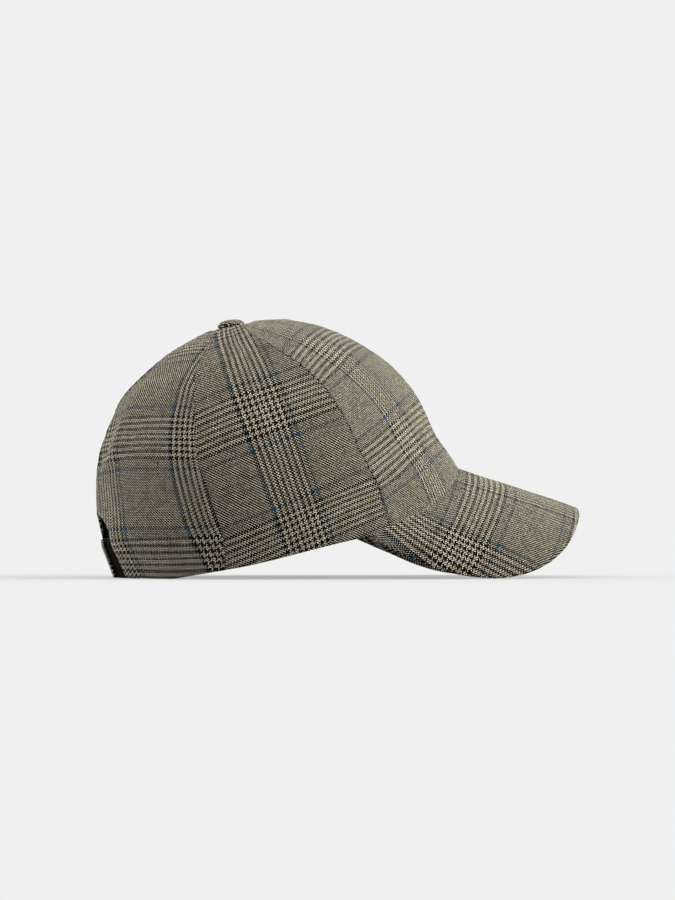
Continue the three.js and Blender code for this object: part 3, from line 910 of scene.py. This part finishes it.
def float_height(tree, across, along):
    """Height of a thread that floats over two others: round across, and an arch along it."""
    arch = node(tree, "Math", wave(tree, along, 4), 0.6, 0.4, operation="MULTIPLY_ADD")
    return node(tree, "Math", wave(tree, across, 2), arch, operation="MULTIPLY")


def check_cloth(name):
    """Glen check, woven in a 2/2 twill from wool: matt, a little hairy, with painted shade between the
    threads.
    """
    material, tree, u, v = started(name)
    warp = thread_order(tree, u, WARP_PITCH, WARP_BLUE)
    weft = thread_order(tree, v, WEFT_PITCH, WEFT_BLUE)
    step = node(tree, "Math", weft["index"], warp["index"], operation="SUBTRACT")
    phase = node(tree, "Math", step, 4, operation="FLOORED_MODULO")
    warp_on_top = node(tree, "Math", phase, 2, operation="LESS_THAN")
    warp_colour = yarn_colour(tree, warp, v, 3.0)
    weft_colour = yarn_colour(tree, weft, u, 11.0)
    # Painted shade: the weft's colour is darkened where it lies deeper than the warp.
    weft_in_painted_shade = node(tree, "VectorMath", {0: weft_colour, "Scale": WEFT_PAINTED_SHADE}, operation="SCALE")
    on_top = {0: warp_on_top, 6: weft_in_painted_shade, 7: warp_colour}
    colour = node(tree, "Mix", on_top, **BLEND)
    both_blue = node(tree, "Math", warp["blue"], weft["blue"], operation="MULTIPLY")
    crossed = {0: both_blue, 6: colour, 7: CROSSED_BLUE}
    colour = node(tree, "Mix", crossed, **BLEND)

    along_warp = node(tree, "Math", phase, weft["across"], operation="ADD")
    over_weft = float_height(tree, warp["across"], along_warp)
    past = node(tree, "Math", 3, phase, operation="SUBTRACT")
    along_weft = node(tree, "Math", past, warp["across"], operation="ADD")
    over_warp = float_height(tree, weft["across"], along_weft)
    height = node(tree, "Mix", {0: warp_on_top, 2: over_warp, 3: over_weft})
    # Painted shade in the hollows between the threads and a little painted highlight on their crowns,
    # from the threads' height.
    hollow_painted_shade_range = {"Value": height, "From Min": 0.55, "From Max": 1, "To Min": 0.01, "To Max": 1.15}
    hollow = node(tree, "MapRange", hollow_painted_shade_range)
    # Painted shade in the furrows and painted highlight on the ridges along the weave's diagonal lines.
    diagonal = node(tree, "Math", warp["threads"], weft["threads"], operation="ADD")
    turn = node(tree, "Math", diagonal, np.pi / 2, operation="MULTIPLY")
    wave = node(tree, "Math", turn, operation="COSINE")
    ridge = node(tree, "Math", wave, PAINTED_RIDGE_SHADE, 1.0, operation="MULTIPLY_ADD")
    # Painted shade of the hollows and the furrows together, which scales the colour.
    depth = node(tree, "Math", hollow, ridge, operation="MULTIPLY")
    shaded = node(tree, "VectorMath", {0: colour, "Scale": depth}, operation="SCALE")
    finish = {
        "Roughness": 0.85,
        "Specular IOR Level": 0.03,
        "Sheen Weight": 0.04,
        "Sheen Roughness": 0.45,
        "Sheen Tint": linear("#efe8d2"),
    }
    return finished(material, shaded, height, THREAD_RELIEF, finish)


def tape(name):
    """Woven cotton tape, dull black: fine ribs across it and a little dust."""
    material, tree, u, v = started(name)
    rib = wave(tree, u, TAPE_RIB)
    height = node(tree, "Math", wave(tree, v, TAPE_PICK), 0.4, rib, operation="MULTIPLY_ADD")
    dust = node(tree, "TexNoise", {"Scale": 900.0, "Detail": 3})
    amount = node(tree, "MapRange", {"Value": dust, "From Min": 0.45, "From Max": 0.8})
    shades = {0: amount, 6: linear("#030303"), 7: linear("#070706")}
    colour = node(tree, "Mix", shades, **BLEND)
    finish = {"Roughness": 0.85, "Specular IOR Level": 0.01}
    return finished(material, colour, height, TAPE_RELIEF, finish)


THREAD_RELIEF = 0.12 * MM
TAPE_RIB = 0.7  # millimetres
TAPE_PICK = 0.45
TAPE_RELIEF = 0.1 * MM
CHECK = check_cloth("glen_check_wool")
BLACK = tape("black_cotton_tape")


# Crown panels
HALF_CLOTH = CLOTH_THICKNESS / 2
ROLLED_EDGE = 0.7
PANEL_LENGTH = 130
PANEL_WIDTH = 70
CLOTH_STEP = 1.15  # between the points of the panels' meshes
RIM_ROLL = 0.6  # how far the folded rim turns in
RIM_ROLL_WIDTH = 1.6
PUCKER = 0.28  # small waves beside the seams
PUCKER_WIDTH = 4
PUCKER_WAVE = 9
EASE = 0.35  # long soft waves in the middle of a panel
EASE_MARGIN = 12
EASE_WAVE = 42
SEAM_ALLOWANCE = 1.5  # cloth that goes on below the rim behind the peak's root
RIM_LEVELS = rim_levels(HALF_CLOTH, SEAM_ALLOWANCE)


def panel_rows(k):
    """Levels of a panel's rows, closer together round the top of the arch."""
    if k < 2:
        return edge_steps(PANEL_LENGTH, CLOTH_STEP, ROLLED_EDGE) * TOP_LEVEL
    turn = np.linspace(0, np.pi / 2, 34)
    arch = ARCH_SPRING + ARCH_RISE * np.sin(turn)
    heights = np.concatenate([np.linspace(0, ARCH_SPRING, 26)[:-1], arch])
    low = level_where(lambda l: CROWN_HEIGHT * section("rise", l) >= heights, heights.shape)
    low[0] = 0
    near_top = TOP_LEVEL * (1 - edge_steps(PANEL_LENGTH, CLOTH_STEP, ROLLED_EDGE)[:6][::-1])
    return np.concatenate([low, np.linspace(low[-1], near_top[0], 78)[1:-1], near_top])


def panel(k, side):
    """One panel between seam k and seam k + 1, on the left (side 1) or the right (side -1)."""
    row_level, share = grid(panel_rows(k), edge_steps(PANEL_WIDTH, CLOTH_STEP, ROLLED_EDGE))
    level = row_level
    for _ in range(5):
        start = azimuth_beside(seam_azimuth(k, level), level, SEAM_GAP / 2)
        end = azimuth_beside(seam_azimuth(k + 1, level), level, -SEAM_GAP / 2)
        if k == 2:
            opening = arch_half_width(CROWN_HEIGHT * section("rise", level))
            end = np.where(opening > SEAM_GAP, np.minimum(azimuth_at_side(opening, level), end), end)
        azimuth = start + (end - start) * share
        bottom = np.interp(azimuth, RIM_AZIMUTHS, RIM_LEVELS)
        if k == 2:
            level = np.maximum(row_level, bottom + row_level * 0.02)
        else:
            level = bottom + (TOP_LEVEL - bottom) * row_level / TOP_LEVEL
    middle = crown_point(side * azimuth, level, HALF_CLOTH)
    normal = outward(side * azimuth, level)
    from_start, from_end, from_rim, _ = edge_distance(middle)
    from_seam = np.minimum(from_start, from_end)
    by_seam = np.exp(-from_seam / PUCKER_WIDTH)
    pucker = PUCKER * by_seam * unevenness(middle + 500 * side, PUCKER_WAVE, 5 + k)
    away = np.minimum(from_seam / EASE_MARGIN, 1)
    ease = EASE * unevenness(middle + 300 * side, EASE_WAVE, 40 + k) * away
    seams = seam_azimuth(k, level), seam_azimuth(k + 1, level)
    right = (seams[1] - azimuth) / (seams[1] - seams[0])
    cloth = cloth_place(PANELS[k], level / TOP_LEVEL, right)
    if side > 0:
        cloth = cloth * [-1, 1] + [WARP_PITCH * 0.5, 0]
    roll = -RIM_ROLL * np.exp(-((from_rim / RIM_ROLL_WIDTH) ** 2)) * (1 - over_peak(azimuth))
    name = f"{PANELS[k]}_panel_{'left' if side > 0 else 'right'}"
    piece = slab(
        name + "_cloth", middle, normal, HALF_CLOTH, ROLLED_EDGE, cloth, CHECK, pucker + ease + roll
    )
    return placed(piece, name)


for number in range(3):
    for right_or_left in (-1, 1):
        panel(number, right_or_left)


# Peak
PEAK_EDGE_RADIUS = PEAK_THICKNESS / 2
ROOT_RADIUS = 0.9
PEAK_EDGE_LENGTH = 340
PEAK_DEPTH = 70
PEAK_EASE = 0.12  # height of the peak's long soft waves
PEAK_WAVE = 30
GROOVE_DEPTH = 0.3
GROOVE_WIDTH = 0.5
EDGE_SEAM = 2.4  # from the peak's edge to the line where its two layers are sewn together


def peak():
    along = edge_steps(PEAK_EDGE_LENGTH, 1.6, PEAK_EDGE_RADIUS)
    station, share = grid(along * 2 - 1, edge_steps(PEAK_DEPTH, 1.0, PEAK_EDGE_RADIUS))
    upper, normal = peak_surface(station, share)
    middle = upper - normal * PEAK_THICKNESS / 2
    _, from_edge, _, _ = edge_distance(middle)
    groove = -GROOVE_DEPTH * np.exp(-(((from_edge - EDGE_SEAM) / GROOVE_WIDTH) ** 2))
    ease = PEAK_EASE * unevenness(middle, PEAK_WAVE, 77)
    cloth = cloth_place("peak", (station + 1) / 2, share)
    radii = (ROOT_RADIUS, PEAK_EDGE_RADIUS, PEAK_EDGE_RADIUS, PEAK_EDGE_RADIUS)
    piece = slab("peak_cloth", middle, normal, PEAK_THICKNESS / 2, radii, cloth, CHECK, groove + ease)
    return placed(piece, "peak")


peak()


# Sweatband, arch binding and strap


def sweatband():
    half = SWEATBAND_THICKNESS / 2
    depth = TUCKED_DEPTH + half
    level_at_rim = rim_levels(depth)
    end = float(azimuth_at_side(ARCH_HALF_WIDTH + STRAP_TUCK + 2 * PIECE_GAP, 0.1))
    turn, share = grid(np.linspace(-end, end, 300), edge_steps(SWEATBAND_HEIGHT, 1.5, half))
    rim = np.interp(np.abs(turn), RIM_AZIMUTHS, level_at_rim)
    rim_height = crown_point(turn, rim, depth)[..., 2]
    height = rim_height + PIECE_GAP + (SWEATBAND_HEIGHT - PIECE_GAP) * share
    level = level_where(lambda l: crown_point(turn, l, depth)[..., 2] > height, turn.shape)
    middle = crown_point(turn, level, depth)
    from_start, _, from_rim, _ = edge_distance(middle)
    cloth = np.stack([from_start, from_rim], 2)
    piece = slab("sweatband_cloth", middle, outward(turn, level), half, half, cloth, BLACK)
    return placed(piece, "sweatband")


def arch_binding():
    half = BINDING_THICKNESS / 2
    depth = TUCKED_DEPTH + half
    lowest = max(STRAP_TOP, SWEATBAND_HEIGHT) + 2 * PIECE_GAP
    start = np.arcsin((lowest - ARCH_SPRING) / ARCH_RISE)
    turn, share = grid(np.linspace(start, np.pi - start, 90), edge_steps(BINDING_WIDTH, 0.9, half))
    wider = share * BINDING_WIDTH
    beside = (ARCH_HALF_WIDTH + wider) * np.cos(turn)
    height = ARCH_SPRING + (ARCH_RISE + wider) * np.sin(turn)
    level = level_where(lambda l: CROWN_HEIGHT * section("rise", l) > height, height.shape)
    azimuth = np.where(beside < 0, -1, 1) * azimuth_at_side(np.abs(beside), level)
    middle = crown_point(azimuth, level, depth)
    _, _, along, _ = edge_distance(middle)
    cloth = np.stack([along, wider], 2)
    piece = slab("arch_binding_tape", middle, outward(azimuth, level), half, half, cloth, BLACK)
    return placed(piece, "arch_binding")


STRAP_SAG = 2.2  # how far the straps' upper edge is drawn in at the middle of the back


def strap(name, node_name, start, end, depth_at, material):
    half = STRAP_THICKNESS / 2
    beside, share = grid(
        start + (end - start) * edge_steps(abs(end - start), 0.9, 0.65),
        edge_steps(STRAP_TOP - 3, 0.9, 0.65),
    )
    sag = STRAP_SAG * np.clip(1 - (beside / ARCH_HALF_WIDTH) ** 2, 0, 1) * share
    depth = depth_at(beside) + half + sag
    level = np.zeros(beside.shape)
    side = np.where(beside < 0, -1, 1)
    for _ in range(4):
        azimuth = side * azimuth_at_side(np.abs(beside), level)

        def above_rim(l):
            point = crown_point(azimuth, l, depth)
            return (point[..., 2] > rim_rise(180)) & (point[..., 2] > floor_height(point[..., 0]))

        bottom = level_where(above_rim, beside.shape)
        top = level_where(lambda l: crown_point(azimuth, l, depth)[..., 2] > STRAP_TOP, beside.shape)
        level = bottom + (top - bottom) * share
    middle = crown_point(azimuth, level, depth)
    cloth = np.stack([beside, share * STRAP_TOP], 2)
    piece = slab(name, middle, outward(azimuth, level), half, 0.65, cloth, material)
    return placed(piece, node_name)


def outer_strap_depth(beside):
    """The outer strap comes out from under the left panel and steps over the inner strap."""
    share = np.clip((ARCH_HALF_WIDTH - beside) / (STRAP_TUCK - 1), 0, 1)
    return TUCKED_DEPTH - eased(share) * (STRAP_THICKNESS + PIECE_GAP)


sweatband()
arch_binding()
strap(
    "strap_inner_tape",
    "strap_inner",
    -(ARCH_HALF_WIDTH + STRAP_TUCK),
    ARCH_HALF_WIDTH - STRAP_TUCK,
    lambda beside: np.full(np.shape(beside), TUCKED_DEPTH),
    BLACK,
)
strap(
    "strap_outer_cloth",
    "strap_outer",
    ARCH_HALF_WIDTH + STRAP_TUCK,
    -STRAP_OVERLAP,
    outer_strap_depth,
    CHECK,
)


# Top button
BUTTON_TUCK = -72  # degrees below its widest edge to where the cloth ends under the button
BUTTON_SQUARENESS = 0.75
BUTTON_EDGE = 0.3  # height of its widest edge, as a share of its height
BUTTON_UNEVENNESS = 0.12
BUTTON_CLOTH_EASE = 1.15  # cloth taken up by the dome


def button():
    """A dome covered in the fine part of the check, tucked in under its edge."""
    radius = BUTTON_DIAMETER / 2
    angle = np.radians(np.linspace(BUTTON_TUCK, 90, 40))
    out = radius * np.sign(np.cos(angle)) * np.abs(np.cos(angle)) ** BUTTON_SQUARENESS
    out[-1] = 0
    edge = BUTTON_HEIGHT * BUTTON_EDGE
    up = edge + np.where(angle < 0, edge, BUTTON_HEIGHT - edge) * np.sin(angle)
    turn, row = grid(np.linspace(0, 2 * np.pi, 97), np.arange(len(angle)))
    x = out[row] * np.cos(turn)
    y = out[row] * np.sin(turn)
    lumps = unevenness(np.stack([x, y, up[row]], -1), 5, 9)
    z = up[row] + BUTTON_UNEVENNESS * lumps * (out[row] / radius)
    low, high = (np.array(corner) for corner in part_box("top_button"))
    lean = BUTTON_LEAN - REST_TILT
    cosine, sine = np.cos(lean), np.sin(lean)
    points = np.stack([x * cosine + z * sine, y, z * cosine - x * sine], -1) * MM
    seat = np.array([(low[0] + high[0]) / 2, 0, high[2]])
    points = points - [(points[..., 0].min() + points[..., 0].max()) / 2, 0, points[..., 2].max()] + seat
    index = np.arange(turn.size).reshape(turn.shape)
    index[-1] = index[0]
    corners = (index[:-1, :-1], index[1:, :-1], index[1:, 1:], index[:-1, 1:])
    faces = np.stack([corner.ravel() for corner in corners], 1)
    places = np.stack([x, y], -1) * BUTTON_CLOTH_EASE + [WARP_REPEAT / 2, WEFT_REPEAT / 2]
    piece = made_mesh("top_button_cloth", points.reshape(-1, 3), faces, places.reshape(-1, 2), CHECK)
    return placed(piece, "top_button")


button()


# Floor, light and camera
PALE = 0.871  # the photograph's even background, in linear light
FLOOR_ALBEDO = 0.15

# Soft boxes far away, added to the pale surroundings, and the dim room behind the camera:
# direction, where the light starts and is full as the cosine from that direction, strength.
SOFT_BOXES = [
    ((0, 0, 1), 0.45, 0.95, 1.7),
    ((0.95, -0.15, 0.25), 0.6, 1.0, 8.5),
    ((0.85, -0.5, 0.1), 0.6, 1.0, 2.2),
    ((-0.93, 0.36, 0.1), 0.5, 1.0, 6.0),
    ((0, -1, 0), -0.1, 0.6, -0.8),
]


def sky_strength(direction):
    """The light that comes from a direction, the same as the world's nodes give."""
    total = PALE
    for axis, start, full, strength in SOFT_BOXES:
        share = np.clip((direction @ np.array(axis) - start) / (full - start), 0, 1)
        total = total + strength * eased(share)
    return total


def light_on_floor():
    """Light that a level floor gets, as a share of what a white sky of strength 1 gives."""
    turn, rise = grid((np.arange(360) + 0.5) * np.pi / 180, (np.arange(200) + 0.5) / 200)
    flat = np.sqrt(1 - rise**2)
    direction = np.stack([flat * np.cos(turn), flat * np.sin(turn), rise], -1)
    return float((sky_strength(direction) * rise).mean() * 2)


def floor():
    """A pale floor that looks just as light as the background behind it."""
    bpy.ops.mesh.primitive_circle_add(vertices=96, radius=40, fill_type="NGON")
    ground = bpy.context.object
    ground.name = "studio_floor"
    material = bpy.data.materials.new("pale_paper")
    material.use_nodes = True
    tree = material.node_tree
    tree.nodes.clear()
    paper = node(tree, "BsdfDiffuse", {"Color": (FLOOR_ALBEDO, FLOOR_ALBEDO, FLOOR_ALBEDO, 1)})
    glow = node(tree, "Emission", {"Strength": PALE - FLOOR_ALBEDO * light_on_floor()})
    both = node(tree, "AddShader", paper, glow)
    node(tree, "OutputMaterial", both)
    ground.data.materials.append(material)


def sky():
    world = bpy.data.worlds.new("studio")
    bpy.context.scene.world = world
    world.use_nodes = True
    tree = world.node_tree
    direction = node(tree, "TexCoord", output="Generated")
    total = PALE
    for axis, start, full, strength in SOFT_BOXES:
        towards = node(tree, "VectorMath", direction, axis, operation="DOT_PRODUCT", output="Value")
        edges = {"Value": towards, "From Min": start, "From Max": full, "To Max": strength}
        share = node(tree, "MapRange", edges, interpolation_type="SMOOTHSTEP")
        total = node(tree, "Math", total, share, operation="ADD")
    background = tree.nodes["Background"]
    tree.links.new(total, background.inputs["Strength"])
    background.inputs["Color"].default_value = (1, 1, 1, 1)


def camera():
    data = bpy.data.cameras.new("camera")
    data.sensor_width = SENSOR_MM
    data.lens = FOCAL_PIXELS * SENSOR_MM / IMAGE_HEIGHT
    data.clip_end = 200
    made = bpy.data.objects.new("camera", data)
    made.location = CAMERA_PLACE
    made.rotation_euler = (np.pi / 2 - CAMERA_RISE, 0, CAMERA_TURN)
    bpy.context.scene.collection.objects.link(made)
    bpy.context.scene.camera = made


floor()
sky()
camera()
bpy.context.scene.view_settings.view_transform = "Standard"
